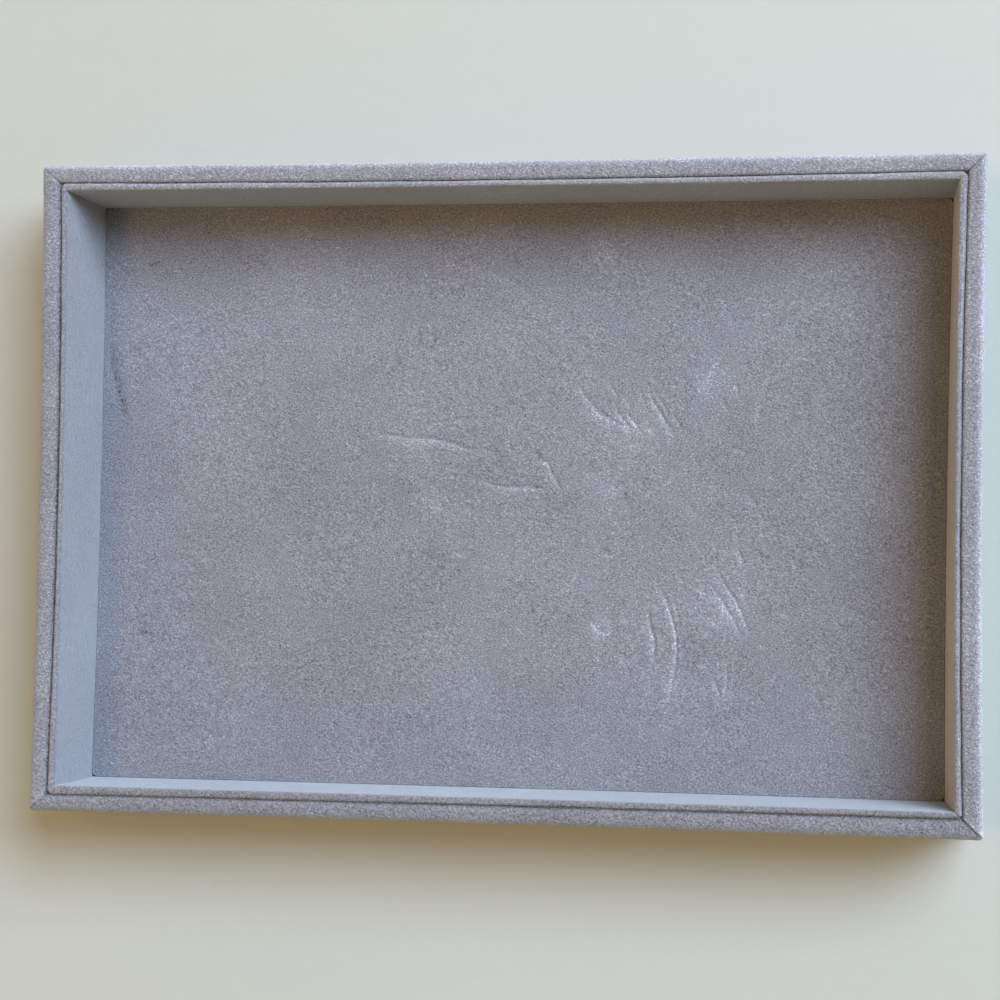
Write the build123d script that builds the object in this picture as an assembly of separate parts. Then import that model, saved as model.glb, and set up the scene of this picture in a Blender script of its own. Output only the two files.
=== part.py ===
"""Cloth-wrapped jewelry tray: boards, mitred cloth covers, an inner liner and a padded floor.

Lengths are in millimetres. +X runs to the right along the long side, +Y to the back, +Z up.
The origin is the centre of the underside, on the surface that the tray stands on.
"""
from build123d import *
import os

# Overall size, measured over the cloth.
length = 350.0
width = 243.0
height = 50.0

# One napped suede cloth covers every visible face.
cloth = 0.8

# Wall boards, and the base board let in between them.
wall_board = 5.0
board_edge = 2.1  # radius that rounds the walls' outer edges and both edges of their rim
base_board = 2.5

# Wall covers: cloth up the outside, over the rim, down inside and in under the base.
rim_turn_down = 20.0
base_turn_in = 15.0

# Felt glued under the tray, pressed thin where it lies over the covers' turn-ins.
pressed_felt = 0.8
felt_margin = 4.0
felt_corner = 3.0

# Liner: card strips in cloth, standing inside the walls a little lower than the rim.
liner_card = 1.2
liner_drop = 0.5
liner_turn_down = 14.0

# Floor pad: card and thin foam in cloth, dropped in between the liners.
floor_card = 1.2
card_corner = 1.0  # plan radius of the card's corners
foam = 1.1
foam_edge = 0.4  # radius to which the pulled cloth rounds the foam's upper edge
pad_gap = 0.2
pad_turn_under = 14.0

# How far a cutting shape runs past what it cuts.
overrun = 5.0

# Heights of the layers, from the ground up.
cover_z = pressed_felt
base_z = cover_z + cloth
pad_z = base_z + base_board
card_z = pad_z + cloth
foam_z = card_z + floor_card
core_z = foam_z + foam
floor_z = core_z + cloth
liner_top = height - liner_drop

# Distances inwards from the tray's outer faces.
wood_face = cloth
wood_back = wood_face + wall_board
liner_back = wood_back + cloth
liner_thickness = liner_card + 2 * cloth
liner_face = liner_back + liner_thickness
pad_side = liner_face + pad_gap
core_side = pad_side + cloth

# Quarter turns that bring a piece drawn for the front round to each side.
side_turns = {"front": 0, "right": 90, "back": 180, "left": 270}


def block(inset, low, high):
    """A block between two heights, smaller than the tray's plan by an inset on every side."""
    size = (length - 2 * inset, width - 2 * inset, high - low)
    return Pos(0, 0, low) * Box(*size, align=(Align.CENTER, Align.CENTER, Align.MIN))


def cut_card(inset, low, high, corner):
    """A flat sheet between two heights with its four plan corners rounded."""
    sheet = block(inset, low, high)
    return fillet(sheet.edges().filter_by(Axis.Z), corner)


def top_face(solid):
    """The highest face of a solid."""
    return solid.faces().sort_by(Axis.Z)[-1]


def eased_ring(face, back, low, high, hole_low, radius):
    """A ring of wall with every outer edge and the inner edge of its rim rounded."""
    ring = fillet(block(face, low, high).edges(), radius)
    ring = ring - block(back, hole_low, high + overrun)
    return fillet(top_face(ring).inner_wires()[0].edges(), radius)


def mitre_sectors():
    """One prism for each side: the tray's plan, cut by 45 degree planes through its corners."""
    x = length / 2 + overrun
    y = width / 2 + overrun
    ridge = (length - width) / 2
    outlines = {
        "front": [(-x, -y), (x, -y), (ridge, 0), (-ridge, 0)],
        "right": [(x, -y), (x, y), (ridge, 0)],
        "back": [(x, y), (-x, y), (-ridge, 0), (ridge, 0)],
        "left": [(-x, y), (-x, -y), (-ridge, 0)],
    }
    sectors = {}
    for side, points in outlines.items():
        face = make_face(Polyline(*points, close=True))
        sectors[side] = extrude(face, height + overrun)
    return sectors


def wall_ring():
    """The four wall boards as one ring, before they are cut apart."""
    return eased_ring(wood_face, wood_back, base_z, height - cloth, base_z - overrun, board_edge)


def wall_boards():
    """Boards butted at the corners: front and back run the full length, the ends fit between."""
    ring = wall_ring()
    between = Box(length, width - 2 * wood_back, 2 * height)
    right_half = Pos(length / 2, 0, 0) * Box(length, width, 2 * height)
    back_half = Pos(0, width / 2, 0) * Box(length, width, 2 * height)
    ends = ring & between
    long_boards = ring - between
    return {
        "front": long_boards - back_half,
        "right": ends & right_half,
        "back": long_boards & back_half,
        "left": ends - right_half,
    }


def wall_covers(sectors):
    """Cloth wrapped over each wall and glued in under the base, mitred at the corners."""
    ring = eased_ring(0, liner_back, cover_z, height, base_z, board_edge + cloth)
    ring = ring - wall_ring()
    ring = ring - block(wood_back, base_z, height - rim_turn_down)
    ring = ring - block(base_turn_in, cover_z - overrun, base_z)
    return {side: ring & sector for side, sector in sectors.items()}


def round_topped(thickness, low, top):
    """Section of an upright strip whose top edge is a half circle, centred on its thickness."""
    radius = thickness / 2
    shank = top - radius - low
    return Pos(0, low + shank / 2) * Rectangle(thickness, shank) + Pos(0, low + shank) * Circle(radius)


def run_along(section, side, sector):
    """A liner section carried along one side and mitred at both ends."""
    half_plan = width / 2 if side in ("front", "back") else length / 2
    middle = liner_back + liner_thickness / 2
    plane = Plane(origin=(0, middle - half_plan, 0), x_dir=(0, 1, 0), z_dir=(1, 0, 0))
    strip = extrude(plane * section, length / 2, both=True)
    return (Rot(0, 0, side_turns[side]) * strip) & sector


def liners(sectors):
    """The liner's card strips, and the cloth over their face and rim and down their back."""
    card = round_topped(liner_card, pad_z, liner_top - cloth)
    wrap = round_topped(liner_thickness, pad_z, liner_top) - card
    bare_back = liner_top - liner_turn_down - pad_z
    back_layer = Pos((cloth - liner_thickness) / 2, pad_z + bare_back / 2) * Rectangle(cloth, bare_back)
    wrap = wrap - back_layer
    cards = {side: run_along(card, side, sector) for side, sector in sectors.items()}
    covers = {side: run_along(wrap, side, sector) for side, sector in sectors.items()}
    return cards, covers


def floor_pad():
    """The card, the foam with its rounded upper edge, and the cloth pulled under all round."""
    card = cut_card(core_side, card_z, foam_z, card_corner)
    padding = cut_card(core_side, foam_z, core_z, card_corner)
    padding = fillet(top_face(padding).edges(), foam_edge)
    cover = cut_card(pad_side, pad_z, floor_z, card_corner + cloth)
    cover = fillet(top_face(cover).edges(), foam_edge + cloth)
    cover = cover - card - padding
    cover = cover - block(pad_side + pad_turn_under, pad_z - overrun, card_z)
    return {"floor_card": card, "floor_foam": padding, "floor_cover": cover}


def underside_felt():
    """The felt: thin over the covers' turn-ins, full between them, and flat on the ground."""
    return cut_card(felt_margin, 0, cover_z, felt_corner) + block(base_turn_in, cover_z, base_z)


def tray():
    """Every sub-part by its name."""
    sectors = mitre_sectors()
    cards, covers = liners(sectors)
    parts = {"base_board": block(wood_back, base_z, pad_z), "underside_felt": underside_felt()}
    parts.update({f"{side}_wall_board": board for side, board in wall_boards().items()})
    parts.update({f"{side}_wall_cover": cover for side, cover in wall_covers(sectors).items()})
    parts.update({f"{side}_liner_card": card for side, card in cards.items()})
    parts.update({f"{side}_liner_cover": cover for side, cover in covers.items()})
    parts.update(floor_pad())
    return parts


os.makedirs("parts", exist_ok=True)
for name, shape in tray().items():
    export_step(shape, f"parts/{name}.step")
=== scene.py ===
"""Looks of a cloth-wrapped jewelry tray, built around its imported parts.

Every surface is worked out as whole arrays in metres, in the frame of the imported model: +X along the
long side, +Y to the back, +Z up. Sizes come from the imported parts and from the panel's settings.
"""

import math

import bpy
import numpy as np
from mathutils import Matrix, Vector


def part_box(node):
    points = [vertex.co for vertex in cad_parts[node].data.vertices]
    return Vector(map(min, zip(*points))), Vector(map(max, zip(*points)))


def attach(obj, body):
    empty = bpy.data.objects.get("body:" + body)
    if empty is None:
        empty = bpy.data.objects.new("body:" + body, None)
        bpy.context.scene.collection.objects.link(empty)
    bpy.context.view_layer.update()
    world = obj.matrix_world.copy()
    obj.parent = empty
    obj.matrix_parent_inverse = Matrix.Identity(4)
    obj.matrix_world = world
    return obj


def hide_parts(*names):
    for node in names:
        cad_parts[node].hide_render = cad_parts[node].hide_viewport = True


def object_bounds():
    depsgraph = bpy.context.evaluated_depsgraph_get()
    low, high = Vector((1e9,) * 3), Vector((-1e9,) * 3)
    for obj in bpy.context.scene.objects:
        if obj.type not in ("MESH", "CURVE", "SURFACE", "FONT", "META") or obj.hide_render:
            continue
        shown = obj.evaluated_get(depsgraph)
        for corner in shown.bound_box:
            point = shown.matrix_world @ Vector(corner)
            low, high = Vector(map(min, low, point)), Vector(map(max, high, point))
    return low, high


bl_info = {
    "name": "Suede Jewelry Tray",
    "version": (1, 0, 0),
    "blender": (4, 5, 0),
    "location": "View3D > Sidebar > Tray",
    "description": "Cloth covers, padded floor and finishes of a wrapped jewelry tray",
    "category": "Object",
}

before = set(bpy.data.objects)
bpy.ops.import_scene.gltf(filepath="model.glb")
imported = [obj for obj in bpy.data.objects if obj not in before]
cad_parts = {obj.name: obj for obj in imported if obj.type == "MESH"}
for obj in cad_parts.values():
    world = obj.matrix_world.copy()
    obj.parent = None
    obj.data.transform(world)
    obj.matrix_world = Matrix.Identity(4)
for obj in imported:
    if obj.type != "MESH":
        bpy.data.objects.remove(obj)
cad_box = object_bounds()

BODY = "root"
MM = 0.001
SIDES = ("front", "right", "back", "left")
QUARTER = math.pi / 2

# A length too small to see, for tests of place and for edges left sharp.
HAIR = 0.1 * MM

# The first seeds of the random draws, one for each kind of piece or mark.
WALL_SEED, LINER_SEED, FLOOR_SEED, SHEET_SEED, SCUFF_SEED, CREASE_SEED = 11, 31, 51, 71, 83, 84

# Directions of a profile's outward normal, as angles from the inward horizontal.
INWARD, UP, OUTWARD, DOWN = 0.0, QUARTER, 2 * QUARTER, 3 * QUARTER


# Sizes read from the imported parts

def low(node):
    """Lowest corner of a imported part."""
    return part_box(node)[0]


def high(node):
    """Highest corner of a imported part."""
    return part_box(node)[1]


HALF_LENGTH = cad_box[1].x
HALF_WIDTH = cad_box[1].y
RIM_Z = cad_box[1].z
CLOTH = low("front_wall_board").y - low("front_wall_cover").y
COVER_Z = low("front_wall_cover").z
WALL_BACK = high("front_wall_board").y + CLOTH + HALF_WIDTH
TURN_IN = high("front_wall_cover").y + HALF_WIDTH
LINER_LOW = low("front_liner_cover")
LINER_HIGH = high("front_liner_cover")
LINER_MIDDLE = (LINER_LOW.y + LINER_HIGH.y) / 2 + HALF_WIDTH
LINER_RADIUS = (LINER_HIGH.y - LINER_LOW.y) / 2
PAD_HALF = high("floor_cover")
PAD_FOOT = low("floor_cover").z
CARD_FOOT = low("floor_card").z
CARD_HIGH = high("floor_card")
FOAM_LOW = low("floor_foam")
FOAM_HIGH = high("floor_foam")
FELT_LOW = low("underside_felt")
FELT_HIGH = high("underside_felt")


# Settings that a user would change

def length_setting(name, default, description):
    """A length in metres for the panel."""
    return bpy.props.FloatProperty(
        name=name, description=description, default=default, min=0.0, precision=5, unit="LENGTH"
    )


def share_setting(name, default, description):
    """A share between 0 and 1 for the panel."""
    return bpy.props.FloatProperty(
        name=name, description=description, default=default, min=0.0, max=1.0, precision=3
    )


def power_setting(name, default, description):
    """A light's power in watts for the panel."""
    return bpy.props.FloatProperty(name=name, description=description, default=default, min=0.0)


def vector_setting(name, default, description, **options):
    """Three numbers for the panel, such as a place, a direction or a turn."""
    return bpy.props.FloatVectorProperty(
        name=name, description=description, default=default, size=3, **options
    )


def colour_setting(name, default, description):
    """A colour for the panel, in linear light."""
    return bpy.props.FloatVectorProperty(
        name=name, description=description, default=default, size=3, subtype="COLOR", min=0.0, max=1.0
    )


class TraySizes(bpy.types.PropertyGroup):
    """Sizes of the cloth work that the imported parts' boxes don't give."""

    rim_radius: length_setting("Rim radius", 2.9 * MM, "Outside radius of the cloth over the rounded rim")
    rim_corner: length_setting("Rim corner radius", 1.1 * MM, "Plan radius of the wall cloth at the corners")
    liner_corner: length_setting("Liner corner radius", 2.0 * MM, "Plan radius of the liner's back corners")
    rim_turn_down: length_setting("Rim turn-down", 20 * MM, "How far the wall cloth goes down inside")
    liner_turn_down: length_setting("Liner turn-down", 14 * MM, "How far the liner cloth goes down its back")
    pad_edge: length_setting("Pad edge radius", 0.9 * MM, "Radius of the floor cloth over the padded edge")
    pad_corner: length_setting("Pad corner radius", 2.4 * MM, "Plan radius of the floor pad's corners")
    pad_squeeze: length_setting("Pad squeeze", 0.15 * MM, "How far the soft pad spreads towards the liner")
    pad_turn_under: length_setting("Pad turn-under", 14 * MM, "How far the floor cloth goes under its card")
    felt_corner: length_setting("Felt corner radius", 3.0 * MM, "Plan radius of the felt's corners")
    felt_edge: length_setting("Felt edge radius", 0.3 * MM, "How softly the felt's cut edge is worn round")
    felt_dip: length_setting("Felt dip", 0.25 * MM, "How far the felt draws up between the turn-ins")
    seam_depth: length_setting("Seam depth", 0.45 * MM, "How deep the deepest mitre seam is tucked in")
    seam_width: length_setting("Seam width", 0.50 * MM, "How wide one side of a mitre seam rolls in")
    puff: length_setting("Puff", 0.30 * MM, "How far the cloth stands off the wall outside the rim")
    fuzz: length_setting("Fuzz", 0.03 * MM, "How far tufts of nap stand proud of the cloth")
    unevenness: length_setting("Unevenness", 0.10 * MM, "How far the hand-glued cloth wanders in and out")
    bow_ends: length_setting("Bow of the ends", 1.15 * MM, "How far the short walls bow in at mid-span")
    bow_back: length_setting("Bow of the back", 0.45 * MM, "How far the back wall bows in at mid-span")
    bow_front: length_setting("Bow of the front", 0.35 * MM, "How far the front wall bows in at mid-span")
    flare_ends: length_setting("Flare of the ends", 0.50 * MM, "How far the short walls' ends stand out")
    flare_sides: length_setting("Flare of the sides", 0.15 * MM, "How far the long walls' ends stand out")
    grain: length_setting("Mesh spacing", 0.9 * MM, "Spacing of the mesh lines on the covers")
    pad_grain: length_setting("Pad mesh spacing", 1.5 * MM, "Spacing of the mesh lines on the floor")
    worn_grain: length_setting("Worn mesh spacing", 0.5 * MM, "Spacing of the mesh lines among the creases")
    pad_swell: length_setting("Pad swell", 0.35 * MM, "Most that the floor may rise in the cloth run")


class TrayFinish(bpy.types.PropertyGroup):
    """Colours and texture of the cloth and the layers inside."""

    suede: colour_setting("Suede", (0.266, 0.290, 0.344), "Napped suede cloth, seen square on")
    # The nap-down and nap-up colours are also where painted shade and painted highlights take the cloth.
    suede_dark: colour_setting("Suede nap down", (0.150, 0.152, 0.170), "Cloth where the nap lies away")
    suede_pale: colour_setting("Suede nap up", (0.430, 0.455, 0.530), "Cloth where the nap stands up")
    nap_size: length_setting("Nap size", 0.80 * MM, "Width of one tuft of the nap")
    sheen: share_setting("Sheen", 1.0, "Strength of the pale bloom at grazing angles")
    sheen_spread: share_setting("Sheen spread", 0.40, "How far the bloom spreads from grazing angles")
    sheen_tint: colour_setting("Sheen tint", (0.820, 0.910, 1.000), "Colour of the bloom at grazing angles")
    felt: colour_setting("Felt", (0.110, 0.115, 0.130), "Pressed felt under the tray")
    fibreboard: colour_setting("Fibreboard", (0.360, 0.240, 0.150), "Bare fibreboard of the walls and base")
    card: colour_setting("Card", (0.270, 0.255, 0.225), "Grey card of the liner and floor")
    foam: colour_setting("Foam", (0.680, 0.660, 0.560), "Thin foam under the floor cloth")


class TrayStage(bpy.types.PropertyGroup):
    """Camera, lights and table."""

    camera_place: vector_setting(
        "Camera place", (0.12716, -0.03234, 0.84959), "Where the camera stands",
        subtype="TRANSLATION", unit="LENGTH", precision=5,
    )
    camera_turn: vector_setting(
        "Camera turn", (2.168, 8.858, 0.849), "Camera rotation in degrees about X, Y and Z", precision=4
    )
    lens: bpy.props.FloatProperty(
        name="Lens", description="Focal length in millimetres on a 36 mm sensor", default=79.90, min=10.0
    )
    table: colour_setting("Table", (0.530, 0.590, 0.562), "Pale table top")
    backdrop: colour_setting("Backdrop", (0.760, 0.790, 0.800), "What the camera sees beyond the table")
    window: colour_setting("Window light", (0.690, 0.810, 1.000), "Cool light from the back right")
    window_power: power_setting("Window power", 148.0, "Power of the window's high part, in watts")
    window_size: length_setting("Window size", 2.50, "Width of the window's high part")
    window_distance: length_setting("Window distance", 4.0, "Distance of the window from the tray")
    window_toward: vector_setting(
        "Window direction", (0.54, 0.53, 1.00), "Direction to the window's high part", precision=3
    )
    side_power: power_setting("Side window power", 52.0, "Power of the window's low part, in watts")
    side_size: length_setting("Side window size", 2.20, "Width of the window's low part")
    side_toward: vector_setting(
        "Side window direction", (1.25, 0.58, 1.00), "Direction to the window's low part", precision=3
    )
    lamp: colour_setting("Lamp light", (1.000, 0.480, 0.150), "Warm light from above, a little to the left")
    lamp_power: power_setting("Lamp power", 16.0, "Power of the warm light from above, in watts")
    lamp_size: length_setting("Lamp size", 0.60, "Width of the round lamp light")
    lamp_distance: length_setting("Lamp distance", 3.0, "Distance of the lamp light from the tray")
    lamp_toward: vector_setting(
        "Lamp direction", (-0.30, 0.0, 0.95), "Direction from the tray to the lamp light", precision=3
    )
    room: colour_setting("Room light", (0.370, 0.300, 0.190), "Fill that reaches the shaded sides")


def sizes():
    """The scene's cloth sizes."""
    return bpy.context.scene.tray_sizes


def finish_settings():
    """The scene's colours."""
    return bpy.context.scene.tray_finish


def stage_settings():
    """The scene's camera and lights."""
    return bpy.context.scene.tray_stage


# Meshes

# The shortest and the longest of a set of waves, as shares of its wavelength.
WAVE_SPREAD = (0.6, 1.6)


def ripples(points, wavelength, seed, count=14):
    """Smooth random unevenness between about -1 and 1: a sum of sine waves with random headings.

    The count is the number of waves, whose lengths lie about the wavelength.
    """
    draw = np.random.default_rng(seed)
    heading = draw.normal(size=(count, 3))
    heading /= np.linalg.norm(heading, axis=1, keepdims=True)
    pitch = 2 * math.pi / (wavelength * draw.uniform(*WAVE_SPREAD, count))
    phase = draw.uniform(0, 2 * math.pi, count)
    waves = np.sin(points @ (heading * pitch[:, None]).T + phase)
    return waves.sum(axis=-1) / math.sqrt(2 * count)


def wander(points, waves, seed):
    """Unevenness that sums ripples, each with a length in millimetres, a share and its own draw."""
    return sum(share * ripples(points, size * MM, seed + k) for k, (size, share) in enumerate(waves))


# How far further in than drawn each groove lies, in millimetres, at its side's start, middle and end
# going round the tray from the front's left-hand end.
GROOVE_SHIFT = {
    "front": (-0.5, 0.15, 0.8),
    "right": (0.8, 1.2, 0.1),
    "back": (0.15, 0.9, 0.2),
    "left": (0.8, 1.2, 0.2),
}
# The shift's share from the wall's outer edge inwards: the depths in wall thicknesses, and the shares.
SHIFT_DEPTH_SHARES = (0.2, 0.6, 1.0)
SHIFT_SHARES = (0.0, 0.35, 1.0, 0.0)
# Down inside the groove the shift ends this far below the rim, and fades over this height above that.
SHIFT_END, SHIFT_FADE = 16 * MM, 10 * MM


def groove_shift(points):
    """How far points near a groove stand further in, because the cloth is thick on the walls' rims.

    The shift is greatest at the groove and fades to nothing at the wall's outer edge, at the liner's
    face and down inside the groove. Along a side it is a parabola through the side's three values.
    """
    shift = np.zeros_like(points)
    fade = np.clip((points[..., 2] - RIM_Z + SHIFT_END) / SHIFT_FADE, 0, 1)
    depths = [share * WALL_BACK for share in SHIFT_DEPTH_SHARES] + [LINER_MIDDLE + LINER_RADIUS]
    halves = (HALF_LENGTH, HALF_WIDTH)
    for side, (first, middle, last) in GROOVE_SHIFT.items():
        axis = 1 if side in ("front", "back") else 0
        inward = 1 if side in ("front", "left") else -1
        onward = 1 if side in ("front", "right") else -1
        depth = halves[axis] + inward * points[..., axis]
        t = onward * points[..., 1 - axis] / halves[1 - axis]
        reach = middle + (last - first) / 2 * t + ((first + last) / 2 - middle) * t**2
        shift[..., axis] += inward * MM * reach * fade * np.interp(depth, depths, SHIFT_SHARES)
    return shift


# How far the pad's corners stand off their drawn places, in millimetres along X and along Y.
FLOOR_SHIFT = {
    "front left": (0.2, -0.3),
    "front right": (-2.0, -0.3),
    "back left": (1.4, 0.4),
    "back right": (-0.2, 0.5),
}


def floor_shift(points):
    """How far points inside the walls move with the pad's corners, which aren't quite square.

    The shift is blended evenly between the four corners, and runs straight up the liner from all of it
    at the pad's top to none at the rim.
    """
    x, y = points[..., 0] / HALF_LENGTH, points[..., 1] / HALF_WIDTH
    depth = np.minimum(HALF_LENGTH * (1 - np.abs(x)), HALF_WIDTH * (1 - np.abs(y)))
    inside = np.clip((depth - WALL_BACK) / CLOTH, 0, 1) * (points[..., 2] > PAD_FOOT - HAIR)
    sunk = np.clip((RIM_Z - points[..., 2]) / (RIM_Z - PAD_HALF.z), 0, 1)
    shift = np.zeros_like(points)
    for corner, (along_x, along_y) in FLOOR_SHIFT.items():
        across = 1 + x if corner.endswith("right") else 1 - x
        deep = 1 + y if corner.startswith("back") else 1 - y
        share = across * deep / 4 * inside * sunk
        shift[..., 0] += MM * along_x * share
        shift[..., 1] += MM * along_y * share
    return shift


def bowed(points):
    """Points with every wall bowed gently inwards and its corners flared a little.

    A wall moves out by its flare at the corners and, along a parabola, in by its bow at mid-span. The
    movement fades with the square of the distance from the tray's middle.
    """
    s = sizes()
    x, y = points[..., 0] / HALF_LENGTH, points[..., 1] / HALF_WIDTH
    ends = s.flare_ends - s.bow_ends * (1 - y**2)
    sides = s.flare_sides - np.where(y > 0, s.bow_back, s.bow_front) * (1 - x**2)
    moved = points + groove_shift(points) + floor_shift(points)
    moved[..., 0] += ends * x * np.abs(x)
    moved[..., 1] += sides * y * np.abs(y)
    return moved


def grid_faces(rows, columns, wrap=False):
    """Quads of a grid of points, row by row; wrap joins the last row to the first."""
    row = np.arange(rows if wrap else rows - 1)[:, None]
    column = np.arange(columns - 1)[None, :]
    below = row * columns + column
    above = ((row + 1) % rows) * columns + column
    return np.stack([below, below + 1, above + 1, above], axis=-1).reshape(-1, 4)


def new_piece(name, points, quads, loops=()):
    """A smooth mesh piece from arrays of points and quads, and closing loops, facing outwards."""
    a, b, c, d = (points[quads[:, k]] for k in range(4))
    volume = (a * np.cross(b, c)).sum() + (a * np.cross(c, d)).sum()
    for loop in loops:
        ring = points[loop]
        volume += (ring[0] * np.cross(ring[1:-1], ring[2:])).sum()
    faces = quads.tolist() + [list(map(int, loop)) for loop in loops]
    if volume < 0:
        faces = [face[::-1] for face in faces]
    mesh = bpy.data.meshes.new(name)
    mesh.from_pydata(points.tolist(), [], faces)
    mesh.polygons.foreach_set("use_smooth", [len(face) == 4 for face in faces])
    mesh.update()
    piece = bpy.data.objects.new(name, mesh)
    bpy.context.scene.collection.objects.link(piece)
    return piece


def straight(start, stop, facing, spacing):
    """Part of a profile: points from start to stop that all face one way."""
    start, stop = np.array(start, float), np.array(stop, float)
    count = max(2, math.ceil(np.linalg.norm(stop - start) / spacing) + 1)
    core = start + (stop - start) * np.linspace(0, 1, count)[:, None]
    return core, np.full(count, facing)


def turn(core, first, last, steps=8):
    """Part of a profile: one core point round which the facing turns from first to last."""
    facing = np.linspace(first, last, steps + 1)[1:-1]
    return np.tile(np.array(core, float), (len(facing), 1)), facing


def joined(*parts):
    """A whole profile: core points, and the unit normals that face away from them."""
    core = np.concatenate([part[0] for part in parts])
    facing = np.concatenate([part[1] for part in parts])
    return core, np.stack([np.cos(facing), np.sin(facing)], axis=1)


# Mesh steps in the closely meshed zone before each seam, and how much they crowd towards the seam.
ZONE_STEPS = 14
ZONE_CROWDING = 0.8


def carry(core, normal, reach, half_run, spacing, zone, corner):
    """Carries a profile along one side up to the mitre planes, closely meshed in a zone before each.

    A point lies at its core point plus reach times its normal. Where the normal faces outwards the
    surface turns with the plan radius of the corner until it meets the mitre plane at 45 degrees;
    elsewhere it runs straight into that plane. Returns the points (along, depth, height), the normals
    and the distance of each point from the seam.
    """
    sunk = (core[:, 0] + reach * normal[:, 0])[:, None]
    height = (core[:, 1] + reach * normal[:, 1])[:, None]
    out = np.clip(-normal[:, 0], 0, None)[:, None]
    inward = np.clip(normal[:, 0], 0, None)[:, None]
    radius = corner * out
    end = half_run - sunk - radius
    arc = radius * math.pi / 4
    count = math.ceil(2 * half_run / spacing)
    middle = np.linspace(-1, 1, count + 1)[None, :]
    last = (np.linspace(0, 1, ZONE_STEPS + 1)[1:] ** ZONE_CROWDING)[None, :]
    tail = end - zone + last * (zone + arc)
    walk = np.concatenate([-tail[:, ::-1], middle * (end - zone), tail], axis=1)
    beyond = np.clip(np.abs(walk) - end, 0, None)
    angle = np.clip(beyond / np.maximum(radius, 1e-9), 0, math.pi / 4) * (radius > 0)
    sign = np.sign(walk)
    facing = np.stack(
        [sign * out * np.sin(angle), inward - out * np.cos(angle), normal[:, 1][:, None] + 0 * walk], axis=-1
    )
    places = np.stack(
        [
            sign * (np.minimum(np.abs(walk), end) + radius * np.sin(angle)),
            sunk + radius * (1 - np.cos(angle)),
            height + 0 * walk,
        ],
        axis=-1,
    )
    return places, facing, end + arc - np.abs(walk)


def half_run_of(side):
    """Half the length of one side of the tray."""
    return HALF_LENGTH if side in ("front", "back") else HALF_WIDTH


def on_side(points, side):
    """Points given as (along, depth from the outer face, height), placed on one side of the tray."""
    reach = HALF_WIDTH if side in ("front", "back") else HALF_LENGTH
    along, out = points[..., 0], points[..., 1] - reach
    turns = SIDES.index(side)
    cos, sin = (1, 0, -1, 0)[turns], (0, 1, 0, -1)[turns]
    return np.stack([along * cos - out * sin, along * sin + out * cos, points[..., 2]], axis=-1)


# The mitre seams, corner by corner going round from the front's right-hand end. Each gives four shares
# of the seam depth: the tuck at the groove, the tuck at the outer tip, and how proud the cloth's edge
# stands beside the seam, on the side before the corner and on the side after it.
WALL_SEAMS = (
    (0.55, 0.50, 0.03, 0.30),
    (0.50, 0.28, 0.10, 0.03),
    (0.18, 0.22, 0.03, 0.26),
    (0.06, 0.60, 0.10, 0.06),
)
LINER_SEAMS = (
    (0.28, 0.28, 0.02, 0.22),
    (0.05, 0.05, 0.00, 0.00),
    (0.05, 0.05, 0.00, 0.05),
    (0.05, 0.05, 0.00, 0.00),
)

# Where the cloth's edge stands proud: its distance from the seam in seam widths.
PROUD_PLACE = 2.1


def seam_shape(seams, side, places, from_seam):
    """Rise and fall of the cloth beside its mitre seams, as shares of the seam depth.

    The tuck is minus a bell curve of the distance from the seam, and the proud edge is another bell
    curve a little way off. The tuck blends from the groove's depth to the outer tip's.
    """
    s = sizes()
    number = SIDES.index(side)
    ahead, behind = seams[number], seams[number - 1]
    onward = places[..., 0] > 0
    share = np.clip(places[..., 1] / WALL_BACK, 0, 1)
    at_groove = np.where(onward, ahead[0], behind[0])
    at_tip = np.where(onward, ahead[1], behind[1])
    proud = np.where(onward, ahead[2], behind[3])
    tuck = (at_tip + (at_groove - at_tip) * share) * np.exp(-((from_seam / s.seam_width) ** 2))
    lip = proud * np.exp(-((from_seam / s.seam_width - PROUD_PLACE) ** 2))
    return lip - tuck


# The length of the closely meshed zone before each seam of a cover.
SEAM_ZONE = 4 * MM
# How far from a seam the cloth's unevenness comes back in full.
SEAM_CALM = 3 * MM
# The least plan radius of a cover's inner side, where the cloth is thicker than its corner.
LEAST_CORNER = 0.2 * MM
# The covers' unevenness: the length of each set of waves in millimetres, and its share.
COVER_WAVES = ((28, 1.0), (6, 0.5))
# The tufts' length, and how many waves make them up.
FUZZ_LENGTH, FUZZ_WAVES = 2.2 * MM, 20
# How much painted shade darkens a tuck and painted highlight lightens a proud edge, for its share of the
# seam depth.
SEAM_PAINTED_SHADE_AND_HIGHLIGHT = 2.5
# The puff is full down to 0.4 of this height below the rim, and ends at 1.4 of it.
PUFF_HEIGHT = 20 * MM


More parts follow.
